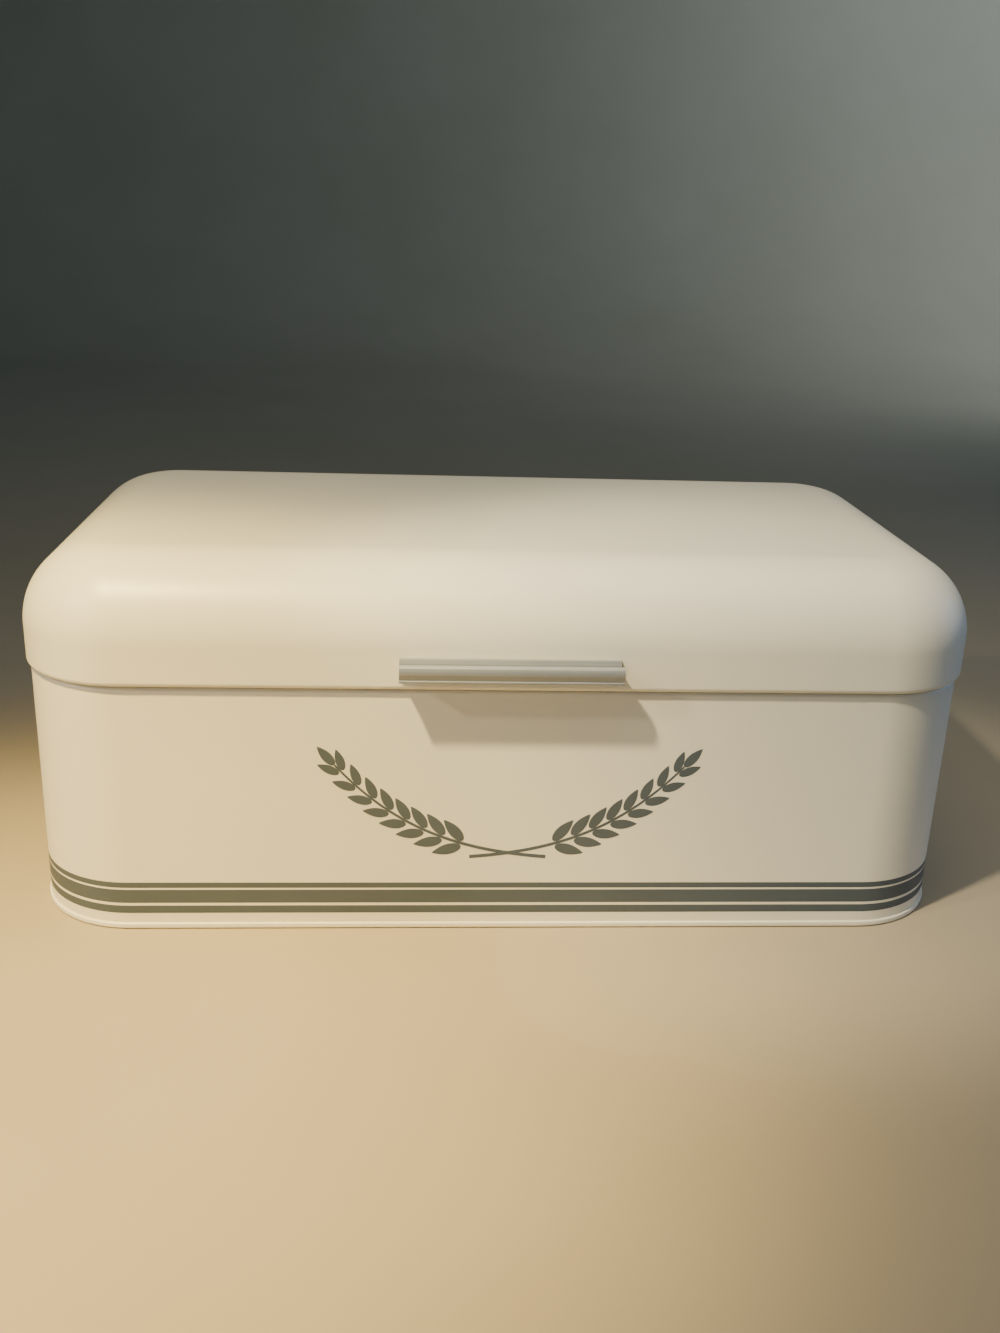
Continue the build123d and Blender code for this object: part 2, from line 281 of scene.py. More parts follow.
def vary_roughness(tree, shader, mask, low, high):
    """Let the roughness drift between two values."""
    spread = tree.nodes.new("ShaderNodeMapRange")
    spread.inputs["From Min"].default_value = NOISE_LOW
    spread.inputs["From Max"].default_value = NOISE_HIGH
    spread.inputs["To Min"].default_value = low
    spread.inputs["To Max"].default_value = high
    tree.links.new(mask, spread.inputs["Value"])
    tree.links.new(spread.outputs["Result"], shader.inputs["Roughness"])


def add_bump(tree, shader, height, strength, distance):
    """Bump from a height."""
    bump = tree.nodes.new("ShaderNodeBump")
    bump.inputs["Strength"].default_value = strength
    bump.inputs["Distance"].default_value = distance
    tree.links.new(height, bump.inputs["Height"])
    tree.links.new(bump.outputs["Normal"], shader.inputs["Normal"])


def powder_coat():
    """Warm white satin powder coat."""
    material, tree, shader = new_material("powder coat", (0.82, 0.78, 0.65), 0.38)
    coat = place_group(tree, COAT_TEXTURE)
    vary_color(tree, shader, coat.outputs["Drift"], (0.805, 0.765, 0.635), (0.835, 0.795, 0.665))
    vary_roughness(tree, shader, coat.outputs["Drift"], 0.34, 0.42)
    add_bump(tree, shader, coat.outputs["Peel"], 0.10, 0.15 * MM)
    return material


def band_print():
    """Slate grey print on the coat, a little thin in places."""
    material, tree, shader = new_material("band print", (0.074, 0.094, 0.111), 0.50)
    coat = place_group(tree, COAT_TEXTURE, Drift_Scale=45.0)
    vary_color(tree, shader, coat.outputs["Drift"], (0.070, 0.089, 0.105), (0.078, 0.099, 0.117))
    vary_roughness(tree, shader, coat.outputs["Drift"], 0.46, 0.54)
    add_bump(tree, shader, coat.outputs["Peel"], 0.10, 0.15 * MM)
    return material


def satin_aluminium():
    """Anodised aluminium with fine lines along its length."""
    material, tree, shader = new_material("satin aluminium", (0.295, 0.31, 0.325), 0.38, 0.35)
    lines = place_group(tree, DRAWN_LINES)
    vary_color(tree, shader, lines.outputs["Lines"], (0.265, 0.28, 0.295), (0.325, 0.34, 0.355))
    vary_roughness(tree, shader, lines.outputs["Smudge"], 0.36, 0.46)
    add_bump(tree, shader, lines.outputs["Lines"], 0.12, 0.1 * MM)
    return material


def zinc_plate():
    """Zinc-plated pressed steel, slightly clouded."""
    material, tree, shader = new_material("zinc plate", (0.60, 0.61, 0.62), 0.36, 1.0)
    lines = place_group(tree, DRAWN_LINES, Along=400.0, Across=400.0, Up=60.0)
    vary_color(tree, shader, lines.outputs["Smudge"], (0.52, 0.53, 0.545), (0.64, 0.645, 0.65))
    vary_roughness(tree, shader, lines.outputs["Smudge"], 0.28, 0.44)
    add_bump(tree, shader, lines.outputs["Lines"], 0.08, 0.1 * MM)
    return material


def bright_steel():
    """Plain bright steel of pins, rivets, screws and washers."""
    material, tree, shader = new_material("bright steel", (0.66, 0.655, 0.64), 0.26, 1.0)
    lines = place_group(tree, DRAWN_LINES, Along=900.0, Across=900.0, Up=900.0)
    vary_color(tree, shader, lines.outputs["Smudge"], (0.60, 0.595, 0.58), (0.70, 0.695, 0.68))
    vary_roughness(tree, shader, lines.outputs["Lines"], 0.20, 0.32)
    add_bump(tree, shader, lines.outputs["Smudge"], 0.05, 0.1 * MM)
    return material


def foot_rubber():
    """Matte black rubber."""
    material, tree, shader = new_material("foot rubber", (0.022, 0.022, 0.022), 0.75)
    coat = place_group(tree, COAT_TEXTURE, Peel_Scale=1500.0, Drift_Scale=120.0)
    vary_color(tree, shader, coat.outputs["Drift"], (0.017, 0.017, 0.017), (0.03, 0.03, 0.029))
    vary_roughness(tree, shader, coat.outputs["Drift"], 0.68, 0.82)
    add_bump(tree, shader, coat.outputs["Peel"], 0.3, 0.1 * MM)
    return material


def clear_silicone():
    """Cloudy silicone of the soft pads."""
    material, tree, shader = new_material("clear silicone", (0.72, 0.72, 0.70), 0.38)
    coat = place_group(tree, COAT_TEXTURE, Drift_Scale=200.0)
    vary_color(tree, shader, coat.outputs["Drift"], (0.66, 0.66, 0.64), (0.76, 0.76, 0.74))
    vary_roughness(tree, shader, coat.outputs["Drift"], 0.32, 0.46)
    shader.inputs["Subsurface Weight"].default_value = 0.3
    return material


COAT = powder_coat()
PRINT = band_print()
ALUMINIUM = satin_aluminium()
ZINC = zinc_plate()
STEEL = bright_steel()
RUBBER = foot_rubber()
SILICONE = clear_silicone()
print("finishes:", [m.name for m in (COAT, PRINT, ALUMINIUM, ZINC, STEEL, RUBBER, SILICONE)])

# %% [markdown]
# ## The body wall
# One strip of sheet is bent round four corners and welded at the back. Its top edge is bent in as a
# flange, with a lip turned down at the mouth, so the box is stiff and has no sharp edge. It could be
# swept along a curve, but a block is quicker to read: round its upright edges, draw the flange in
# from the top face, push the mouth down, take the ends off and give what is left a thickness.

# %% Body wall
SHEET = 0.8 * MM
BODY_CORNER = 43.7 * MM
CORNER_SEGMENTS = 24
RIM_FLANGE = 8.0 * MM
RIM_LIP = 3.0 * MM
RIM_BEND = 1.6 * MM
RIM_LIP_BEND = 0.9 * MM
RIM_SEGMENTS = 6
RIM_LIP_SEGMENTS = 5
VENT_COUNT = 7
VENT_PITCH = 14.0 * MM
VENT_RADIUS = 2.5 * MM
VENT_HEIGHT = 92.0 * MM
DRILL_DEPTH = 6.0 * MM
DRILL_SIDES = 32

body_low, body_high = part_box("body_wall")


def drawn_in(place, half_x, half_y, corner):
    """How far a place lies in from a rounded rectangle about the origin, seen from above."""
    past_x = abs(place.x) - (half_x - corner)
    past_y = abs(place.y) - (half_y - corner)
    outside = math.hypot(max(past_x, 0), max(past_y, 0)) + min(max(past_x, past_y), 0)
    return corner - outside


def ring_at(height, outline, near, far):
    """A test for edges and faces at a height that lie between two distances in from an outline."""
    flat = level_at(height)

    def test(part):
        if not flat(part):
            return False
        middle = sum((vert.co for vert in part.verts), Vector()) / len(part.verts)
        return near <= drawn_in(middle, *outline) <= far

    return test


def add_drill(radius, depth, place):
    """A rod along Y that cuts a round hole."""
    deselect_all()
    bpy.ops.mesh.primitive_cylinder_add(
        vertices=DRILL_SIDES, radius=radius, depth=depth, location=place, rotation=(math.pi / 2, 0, 0)
    )
    return bpy.context.object


def join(pieces, name):
    """Make one object of several."""
    make_active(pieces[0])
    for piece in pieces:
        piece.select_set(True)
    bpy.ops.object.join()
    pieces[0].name = pieces[0].data.name = name
    bpy.ops.object.transform_apply(location=True, rotation=True, scale=True)
    return pieces[0]


def cut(piece, tool):
    """Cut a tool's shape out of a piece, and put the tool away."""
    apply_modifier(piece, "BOOLEAN", operation="DIFFERENCE", solver="EXACT", object=tool)
    bpy.data.objects.remove(tool)


def body_shell():
    """The wrapped wall, with its bent-in rim and its row of vents."""
    outline = (body_high.x, body_high.y, BODY_CORNER)
    top, foot = body_high.z, body_low.z
    wall = add_block("body_shell", body_low, body_high)
    round_edges(upright, BODY_CORNER, CORNER_SEGMENTS)
    pick("FACE", level_at(top))
    inset(RIM_FLANGE)
    raise_by(z=-RIM_LIP)
    bpy.ops.mesh.delete(type="FACE")
    pick("FACE", level_at(foot))
    bpy.ops.mesh.delete(type="FACE")
    mouth = ring_at(top, outline, RIM_FLANGE - RIM_BEND, RIM_FLANGE + RIM_BEND)
    round_edges(mouth, RIM_LIP_BEND, RIM_LIP_SEGMENTS)
    shoulder = ring_at(top, outline, -RIM_BEND, RIM_BEND / 2)
    round_edges(shoulder, RIM_BEND, RIM_SEGMENTS)
    apply_modifier(wall, "SOLIDIFY", thickness=SHEET, offset=-1, use_even_offset=True)
    places = [(place - (VENT_COUNT - 1) / 2) * VENT_PITCH for place in range(VENT_COUNT)]
    drills = [add_drill(VENT_RADIUS, DRILL_DEPTH, (x, body_high.y, VENT_HEIGHT)) for x in places]
    cut(wall, join(drills, "vent_drills"))
    smooth(wall)
    return wall


finish_piece(body_shell(), "box", "powder_coat", COAT, "body_wall")

# %% [markdown]
# ## The floor and its bead
# The floor is a pressed tray. Its edge goes down inside the wall, under the wall's foot and up the
# outside, where it is squeezed tight, and that crimp is the bead seen along the bottom. Insets draw
# the rings, a ring is pushed down as the groove that takes the wall, and the middle is raised.

# %% Floor with its bead
BEAD_TOP = 3.0 * MM
BEAD_PROUD = 0.9 * MM
BEAD_ROUND = 0.8 * MM
BEAD_SEGMENTS = 6

pan_low, pan_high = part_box("base_pan")


def floor_pan():
    """The pressed floor, with the crimped bead that holds the wall."""
    outline = (pan_high.x, pan_high.y, BODY_CORNER + BEAD_PROUD)
    bottom = pan_low.z
    pan = add_block("floor_pan", pan_low, (pan_high.x, pan_high.y, BEAD_TOP))
    round_edges(upright, BODY_CORNER + BEAD_PROUD, CORNER_SEGMENTS)
    pick("FACE", level_at(BEAD_TOP))
    inset(BEAD_PROUD)
    inset(SHEET)
    raise_by(z=pan_high.z - BEAD_TOP)
    pick("FACE", ring_at(BEAD_TOP, outline, BEAD_PROUD, BEAD_PROUD + SHEET))
    raise_by(z=bottom + SHEET - BEAD_TOP)
    pick("FACE", level_at(bottom))
    inset(BEAD_PROUD + 2 * SHEET)
    raise_by(z=pan_high.z - SHEET - bottom)
    for height in (BEAD_TOP, bottom):
        round_edges(ring_at(height, outline, -BEAD_ROUND, BEAD_ROUND / 2), BEAD_ROUND, BEAD_SEGMENTS)
    smooth(pan)
    return pan


finish_piece(floor_pan(), "box", "powder_coat", COAT, "base_pan")

# %% [markdown]
# ## The printed bands
# Three bands run right round the foot of the body: a thin one, a wide one and a middling one. They
# are printed on the coat, so they stand off it by no more than a coat of ink. A decal in the coat's
# material would do in the picture, but as thin rings they stay crisp in any export.

# %% Printed bands
INK = 0.06 * MM


def ink_band(node):
    """A thin ring of ink round the wall."""
    low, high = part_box(node)
    edge = Vector((body_high.x + INK, body_high.y + INK, 0))
    band = add_block(node + "_ink", (-edge.x, -edge.y, low.z), (edge.x, edge.y, high.z))
    round_edges(upright, BODY_CORNER + INK, CORNER_SEGMENTS)
    for height in (low.z, high.z):
        pick("FACE", level_at(height))
        bpy.ops.mesh.delete(type="FACE")
    apply_modifier(band, "SOLIDIFY", thickness=INK, offset=-1, use_even_offset=True)
    smooth(band)
    return band


for node in ("stripe_bottom", "stripe_middle", "stripe_top"):
    finish_piece(ink_band(node), "box", "band_print", PRINT, node)

# %% [markdown]
# ## The lid
# The lid is drawn from one sheet in a press: a flat crown, a big round-over, four round corners, and a
# lower edge curled in so that no raw edge shows. A block with two sets of rounded edges has that form
# already. The curl is a pocket pushed up from below, with both of its lower edges rounded until they
# meet, and the thickness turns it into a rolled edge.

# %% Lid
LID_CORNER = 45.0 * MM
LID_ROUNDOVER = 35.0 * MM
ROUNDOVER_SEGMENTS = 24
LID_CURL = 2.5 * MM
CURL_RISE = 4.6 * MM
CURL_SEGMENTS = 8
CURL_SHARE = 0.97

lid_low, lid_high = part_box("lid_shell")


def lid_cap():
    """The drawn lid, with its curled lower edge."""
    outline = (lid_high.x, lid_high.y, LID_CORNER)
    edge = lid_low.z
    lid = add_block("lid_cap", lid_low, lid_high)
    round_edges(upright, LID_CORNER, CORNER_SEGMENTS)
    round_edges(level_at(lid_high.z), LID_ROUNDOVER, ROUNDOVER_SEGMENTS)
    pick("FACE", level_at(edge))
    inset(2 * LID_CURL)
    raise_by(z=CURL_RISE)
    bpy.ops.mesh.delete(type="FACE")
    for near, far in ((-LID_CURL, LID_CURL / 2), (1.5 * LID_CURL, 3 * LID_CURL)):
        round_edges(ring_at(edge, outline, near, far), CURL_SHARE * LID_CURL, CURL_SEGMENTS)
    apply_modifier(lid, "SOLIDIFY", thickness=SHEET, offset=-1, use_even_offset=True)
    smooth(lid)
    return lid


finish_piece(lid_cap(), "lid", "powder_coat", COAT, "lid_shell")

# %% [markdown]
# ## The handle
# The handle is a length of aluminium extrusion, sawn off square: a back plate against the lid, a groove,
# and a lip with a rounded face that stands out over the fingers. The face turns under towards its foot,
# so its lower half is in shade, and a fine bead ends it. It is made as the press makes it. One vertex is
# pushed from corner to corner to draw the profile, the profile is filled and drawn out to its length,
# and then each long corner gets its own radius. A corner is given in millimetres, as its distance out
# from the back of the plate, its height, and its radius.

# %% Handle
handle_low, handle_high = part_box("handle")
HANDLE_BACK = handle_high.y
HANDLE_PROFILE = {
    "plate foot": (0.0, 121.2, 0.2),
    "plate top": (0.0, 130.2, 0.2),
    "plate edge": (0.9, 130.2, 0.3),
    "plate front": (1.9, 128.2, 0.05),
    "groove wall": (2.0, 126.4, 0.2),
    "groove": (3.2, 126.6, 0.2),
    "crest": (10.4, 130.75, 0.25),
    "brow": (11.7, 130.1, 0.6),
    "belly": (12.7, 127.9, 1.5),
    "lip foot": (11.4, 124.3, 0.1),
    "bead upper": (11.95, 124.3, 0.4),
    "bead lower": (11.95, 123.2, 0.4),
    "finger edge": (11.3, 123.2, 0.2),
    "finger groove": (6.5, 123.5, 1.0),
    "underside": (2.0, 122.2, 0.2),
    "plate heel": (1.2, 121.2, 0.2),
}
HANDLE_ROUND_SEGMENTS = 6
HANDLE_SAWN_EDGE = 0.12 * MM


def draw_line(name, corners):
    """Push one vertex from corner to corner, and leave the line in edit mode."""
    deselect_all()
    bpy.ops.mesh.primitive_plane_add(size=MM, location=corners[0])
    piece = bpy.context.object
    piece.name = piece.data.name = name
    bpy.ops.object.transform_apply(location=True, rotation=True, scale=True)
    bpy.ops.object.mode_set(mode="EDIT")
    bpy.ops.mesh.select_mode(type="VERT")
    bpy.ops.mesh.select_all(action="SELECT")
    bpy.ops.mesh.merge(type="CENTER")
    for last, corner in zip(corners, corners[1:]):
        move = {"value": corner - last, "orient_type": "GLOBAL"}
        bpy.ops.mesh.extrude_vertices_move(TRANSFORM_OT_translate=move)
    return piece


def draw_profile(name, corners):
    """Draw a line round some corners, close it and fill it."""
    piece = draw_line(name, corners)
    ends = (corners[0], corners[-1])
    pick("VERT", lambda vert: any((vert.co - end).length < NEAR for end in ends))
    bpy.ops.mesh.edge_face_add()
    bpy.ops.mesh.select_all(action="SELECT")
    bpy.ops.mesh.edge_face_add()
    return piece


def runs_along_x(y, z):
    """A test for long edges at one place of the profile."""
    spot = Vector((0, y, z))
    return lambda edge: all((Vector((0, v.co.y, v.co.z)) - spot).length < NEAR for v in edge.verts)


def finger_pull():
    """The extruded handle, sawn off square."""
    start, end = handle_low.x, handle_high.x
    corners = [Vector((start, HANDLE_BACK - out * MM, up * MM)) for out, up, _ in HANDLE_PROFILE.values()]
    pull = draw_profile("finger_pull", corners)
    raise_by(x=end - start)
    bpy.ops.mesh.select_all(action="SELECT")
    bpy.ops.mesh.normals_make_consistent(inside=False)
    for corner, (_, _, radius) in zip(corners, HANDLE_PROFILE.values()):
        round_edges(runs_along_x(corner.y, corner.z), radius * MM, HANDLE_ROUND_SEGMENTS)
    for face in (start, end):
        round_edges(lambda edge: all(abs(v.co.x - face) < NEAR for v in edge.verts), HANDLE_SAWN_EDGE, 2)
    smooth(pull, CRISP_ANGLE)
    return pull


finish_piece(finger_pull(), "lid", "satin_aluminium", ALUMINIUM, "handle")

# %% [markdown]
# ## The printed sprig
# The middle of the front carries a print in the same grey as the bands: two ears of wheat, crossed at
# the stalks, an old sign for bread. One grain is modelled and copied up a curved stalk, in pairs that
# get smaller towards the tip, and the second ear is the mirror of the first.

# %% Wheat print
SPRIG_MIDDLE = (2.0 * MM, 36.0 * MM)
SPRIG_CURVE = ((-17.0, 0.0), (22.0, 3.0), (50.0, 14.0), (76.0, 44.0))
GRAIN_PAIRS = 8
GRAIN_LENGTH = 15.0 * MM
GRAIN_WIDTH = 5.4 * MM
GRAIN_SIDES = 24
GRAIN_ROOT = 1.15
GRAIN_TAPER = 0.75
STALK_WIDTH = 1.7 * MM
STALK_TAPER = 0.45
STALK_STEPS = 28
EAR_START = 0.36
EAR_END = 0.97
FIRST_GRAIN_SIZE = 0.88
GRAIN_SHRINK = 0.2
TIP_GRAIN_SIZE = 0.75
GRAIN_LEAN = 32
GRAIN_LEAN_EASE = 8
GRAIN_SEAT = 0.42
TIP_SEAT = 0.38
PRINT_FACE = body_low.y


def on_curve(t):
    """A place on the stalk's cubic curve, and its direction, in the plane of the front."""
    a, b, c, d = (Vector(point) * MM for point in SPRIG_CURVE)
    s = 1 - t
    place = a * s**3 + b * 3 * s * s * t + c * 3 * s * t * t + d * t**3
    along = (b - a) * s * s + (c - b) * 2 * s * t + (d - c) * t * t
    return place, along.normalized()


def one_grain():
    """A grain of wheat: a disc drawn out to a point at one end."""
    deselect_all()
    bpy.ops.mesh.primitive_circle_add(vertices=GRAIN_SIDES, radius=0.5, fill_type="NGON")
    grain = bpy.context.object
    grain.scale = (GRAIN_LENGTH, GRAIN_WIDTH, 1)
    bpy.ops.object.transform_apply(scale=True)
    for vert in grain.data.vertices:
        share = vert.co.x / GRAIN_LENGTH + 0.5
        vert.co.y *= GRAIN_ROOT - GRAIN_TAPER * share**3
    return grain


def set_on_front(piece, place, along, size=1.0):
    """Stand a flat piece on the front of the box, with its length along a direction."""
    turn = math.atan2(along.y, along.x)
    stand = Matrix.Rotation(math.pi / 2, 4, "X")
    spot = Matrix.Translation((place.x + SPRIG_MIDDLE[0], PRINT_FACE, place.y + SPRIG_MIDDLE[1]))
    piece.data.transform(spot @ stand @ Matrix.Rotation(turn, 4, "Z") @ Matrix.Scale(size, 4))


def copy_of(piece):
    """A copy with its own mesh."""
    twin = piece.copy()
    twin.data = piece.data.copy()
    bpy.context.collection.objects.link(twin)
    return twin


def turned(direction, degrees):
    """A direction in the plane of the front, turned."""
    angle = math.radians(degrees)
    x = direction.x * math.cos(angle) - direction.y * math.sin(angle)
    y = direction.x * math.sin(angle) + direction.y * math.cos(angle)
    return Vector((x, y))


def stalk():
    """A ribbon along the curve, drawn as one outline that narrows towards the tip."""
    lower, upper = [], []
    for step in range(STALK_STEPS + 1):
        t = step / STALK_STEPS
        place, along = on_curve(t)
        half = STALK_WIDTH * (1.0 - STALK_TAPER * t) / 2
        across = turned(along, 90) * half
        lower.append(place - across)
        upper.append(place + across)
    corners = [Vector((p.x, p.y, 0)) for p in lower + upper[::-1]]
    ribbon = draw_profile("stalk", corners)
    deselect_all()
    return ribbon


def wheat_print():
    """Two crossed ears, the second a mirror of the first and a hair over it where they cross."""
    grain = one_grain()
    ribbon = stalk()
    set_on_front(ribbon, Vector((0, 0)), Vector((1, 0)))
    parts = [ribbon]
    for pair in range(GRAIN_PAIRS):
        share = pair / (GRAIN_PAIRS - 1)
        place, along = on_curve(EAR_START + (EAR_END - EAR_START) * share)
        size = FIRST_GRAIN_SIZE - GRAIN_SHRINK * share
        for side in (-1, 1):
            lean = turned(along, side * (GRAIN_LEAN - GRAIN_LEAN_EASE * share))
            off = turned(along, side * 90) * GRAIN_WIDTH * GRAIN_SEAT * size
            kernel = copy_of(grain)
            set_on_front(kernel, place + off + lean * GRAIN_LENGTH * GRAIN_SEAT * size, lean, size)
            parts.append(kernel)
    place, along = on_curve(1.0)
    set_on_front(grain, place + along * GRAIN_LENGTH * TIP_SEAT, along, TIP_GRAIN_SIZE)
    parts.append(grain)
    ear = join(parts, "wheat_print")
    twin = copy_of(ear)
    over_first = Matrix.Translation((2 * SPRIG_MIDDLE[0], -INK / 4, 0))
    twin.data.transform(over_first @ Matrix.Scale(-1, 4, (1, 0, 0)))
    sprigs = join([ear, twin], "wheat_print")
    bpy.ops.object.mode_set(mode="EDIT")
    bpy.ops.mesh.select_all(action="SELECT")
    bpy.ops.mesh.normals_make_consistent(inside=False)
    raise_by(y=-INK)
    bpy.ops.mesh.select_all(action="SELECT")
    bpy.ops.mesh.normals_make_consistent(inside=False)
    deselect_all()
    return sprigs


finish_piece(wheat_print(), "box", "band_print", PRINT)

# %% [markdown]
# ## Hinges and fasteners
# Two pressed steel hinges carry the lid at the rear, each with a stop tail so that the lid stands open.
# Their CAD shapes are right, and a pressing has slightly rounded edges, so a copy of each is merged,
# cleared of flat seams and given a small bevel that catches the light.

# %% Hinges
PRESSED_EDGE = 0.18 * MM
HARD_ANGLE = 40
FLAT_ANGLE = 1
SAME_PLACE = 0.001 * MM


def softened_copy(node, name, edge):
    """A copy of a CAD node with its hard edges rounded."""
    piece = copy_of(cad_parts[node])
    piece.parent = None
    for key in list(piece.keys()):
        del piece[key]
    piece.name = piece.data.name = name
    make_active(piece)
    bpy.ops.object.mode_set(mode="EDIT")
    bpy.ops.mesh.select_all(action="SELECT")
    bpy.ops.mesh.remove_doubles(threshold=SAME_PLACE)
    bpy.ops.mesh.dissolve_limited(angle_limit=math.radians(FLAT_ANGLE))
    bpy.ops.object.mode_set(mode="OBJECT")
    apply_modifier(
        piece, "BEVEL", width=edge, segments=2, limit_method="ANGLE",
        angle_limit=math.radians(HARD_ANGLE), use_clamp_overlap=True,
    )
    smooth(piece, HARD_ANGLE)
    return piece


for side in SIDES:
    leaf = softened_copy(f"hinge_body_leaf_{side}", f"fixed_leaf_{side}", PRESSED_EDGE)
    finish_piece(leaf, "box", "zinc_plate", ZINC, f"hinge_body_leaf_{side}")
    leaf = softened_copy(f"hinge_lid_leaf_{side}", f"moving_leaf_{side}", PRESSED_EDGE)
    finish_piece(leaf, "lid", "zinc_plate", ZINC, f"hinge_lid_leaf_{side}")

# %% [markdown]
# ## Turned pieces
# Rivets, screws, washers, pins, feet and pads are all round, so each is half a profile spun about its
# axis. A profile lists radius and distance along the axis, in millimetres, from one end to the other.
# The screws get a cross recess, cut by two crossed bars. Most of this shows only with the lid open or
# the box turned over, but that is where a maker would look.

# %% Turned pieces
TURNED_STEPS = 32
ALONG_X, ALONG_Y, ALONG_Z = (1, 0, 0), (0, 1, 0), (0, 0, 1)
RIVET = (
    (0, 0), (2.2, 0), (2.6, 0.12), (2.8, 0.4), (2.75, 0.8), (1.6, 0.8), (1.6, 2.8), (3.1, 2.8),
    (3.2, 2.95), (3.05, 3.3), (2.5, 3.73), (1.7, 3.98), (0.8, 4.08), (0, 4.1),
)
SCREW = (
    (0, 0), (1.1, 0), (1.45, 0.5), (1.45, 8.1), (2.7, 8.1), (2.8, 8.25), (2.8, 9.1), (2.6, 9.7),
    (2.1, 10.1), (1.2, 10.26), (0, 10.3),
)
WASHER = ((1.7, 0), (4.3, 0), (4.5, 0.15), (4.5, 0.65), (4.3, 0.8), (1.7, 0.8), (1.7, 0))
PIN = (
    (0, 0), (1.2, 0), (1.65, 0.12), (1.9, 0.4), (1.85, 0.8), (1.25, 0.8),
    (1.25, 40.8), (1.85, 40.8), (1.9, 41.2), (1.65, 41.48), (1.2, 41.6), (0, 41.6),
)
FOOT = (
    (0, 0), (6.4, 0), (7.0, 0.12), (7.5, 0.45), (7.85, 1.0), (8.0, 1.8), (8.0, 4.8), (7.8, 5.0), (0, 5.0),
)
PAD = ((0, 0), (1.8, 0), (1.8, 0.5), (1.65, 0.95), (1.2, 1.2), (0.6, 1.29), (0, 1.3))
RECESS = (3.2 * MM, 0.65 * MM, 1.1 * MM)


def lathe(name, profile, place, axis):
    """Spin half a profile into a turned piece that starts at a place and runs along an axis."""
    piece = draw_line(name, [Vector((radius, 0, along)) * MM for radius, along in profile])
    bpy.ops.mesh.select_all(action="SELECT")
    bpy.ops.mesh.spin(steps=TURNED_STEPS, angle=2 * math.pi, center=(0, 0, 0), axis=ALONG_Z)
    bpy.ops.mesh.select_all(action="SELECT")
    bpy.ops.mesh.remove_doubles(threshold=NEAR / 4)
    bpy.ops.mesh.normals_make_consistent(inside=False)
    deselect_all()
    turn = Vector(ALONG_Z).rotation_difference(Vector(axis)).to_matrix().to_4x4()
    piece.data.transform(Matrix.Translation(place) @ turn)
    smooth(piece, CRISP_ANGLE)
    return piece


def at_start(node, axis):
    """The place on a node's own axis where it starts."""
    low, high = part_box(node)
    middle = (low + high) / 2
    return Vector(low[i] if axis[i] else middle[i] for i in range(3))


def rivet_pair(node, name):
    """Two rivets, one at each end of a node's box."""
    low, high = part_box(node)
    reach = max(radius for radius, _ in RIVET) * MM
    middle = (low.z + high.z) / 2
    places = [(x, low.y, middle) for x in (low.x + reach, high.x - reach)]
    return join([lathe(name, RIVET, place, ALONG_Y) for place in places], name)


def cross_head_screw(node, name):
    """A pan-head screw with a cross recess in its head."""
    screw = lathe(name, SCREW, at_start(node, ALONG_Y), ALONG_Y)
    low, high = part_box(node)
    middle = Vector(((low.x + high.x) / 2, high.y, (low.z + high.z) / 2))
    length, width, depth = RECESS
    for x, z in ((length, width), (width, length)):
        half = Vector((x / 2, depth, z / 2))
        bar = add_block("recess_bar", middle - half, middle + half)
        cut(screw, bar)
    smooth(screw, CRISP_ANGLE)
    return screw


for side in SIDES:
    finish_piece(rivet_pair(f"body_rivets_{side}", f"wall_rivets_{side}"), "box", "bright_steel", STEEL,
                 f"body_rivets_{side}")
    finish_piece(rivet_pair(f"lid_rivets_{side}", f"cover_rivets_{side}"), "lid", "bright_steel", STEEL,
                 f"lid_rivets_{side}")
    screw = cross_head_screw(f"handle_screw_{side}", f"pull_screw_{side}")
    finish_piece(screw, "lid", "bright_steel", STEEL, f"handle_screw_{side}")
    for node, name, profile, axis, body, slot, material in (
        ("handle_washer", "pull_washer", WASHER, ALONG_Y, "lid", "bright_steel", STEEL),
        ("hinge_pin", "turned_pin", PIN, ALONG_X, "box", "bright_steel", STEEL),
        ("foot_front", "front_foot", FOOT, ALONG_Z, "box", "foot_rubber", RUBBER),
        ("foot_rear", "rear_foot", FOOT, ALONG_Z, "box", "foot_rubber", RUBBER),
        ("rim_bumper", "soft_pad", PAD, ALONG_Z, "box", "clear_silicone", SILICONE),
    ):
        node, name = f"{node}_{side}", f"{name}_{side}"
        finish_piece(lathe(name, profile, at_start(node, axis), axis), body, slot, material, node)

# %% [markdown]
# ## Floor, light and camera
# The box stands on a plain pale floor that sweeps up behind it. A warm lamp from the upper left in front
# gives the long shadow under the handle. It has three cones at one place: two for the floor and the body,
# and a narrow one for the lid. A weaker lamp farther left gives the short shadow inside the long one.
# Soft panels fill the front, the crown, the right end and the backdrop. The camera stands where the
# photograph was taken: its place, tilt and lens come from fitting the box's edges in the picture.

# %% Floor
FLOOR_WIDTH = 8.0
FLOOR_FRONT = -3.0
FLOOR_BACK = 2.6
BACKDROP_HEIGHT = 3.0
SWEEP_RADIUS = 0.8
SWEEP_SEGMENTS = 24


def floor_material():
    """Plain pale floor, slightly clouded."""
    material, tree, shader = new_material("pale floor", (0.41, 0.345, 0.245), 0.6)
    coat = place_group(tree, COAT_TEXTURE, Drift_Scale=3.0, Peel_Scale=90.0)
    vary_color(tree, shader, coat.outputs["Drift"], (0.39, 0.33, 0.23), (0.43, 0.36, 0.26))
    return material


def at_floor_back(edge):
    """Whether an edge lies along the back of the floor."""
    return all(abs(v.co.y - FLOOR_BACK) < NEAR for v in edge.verts)


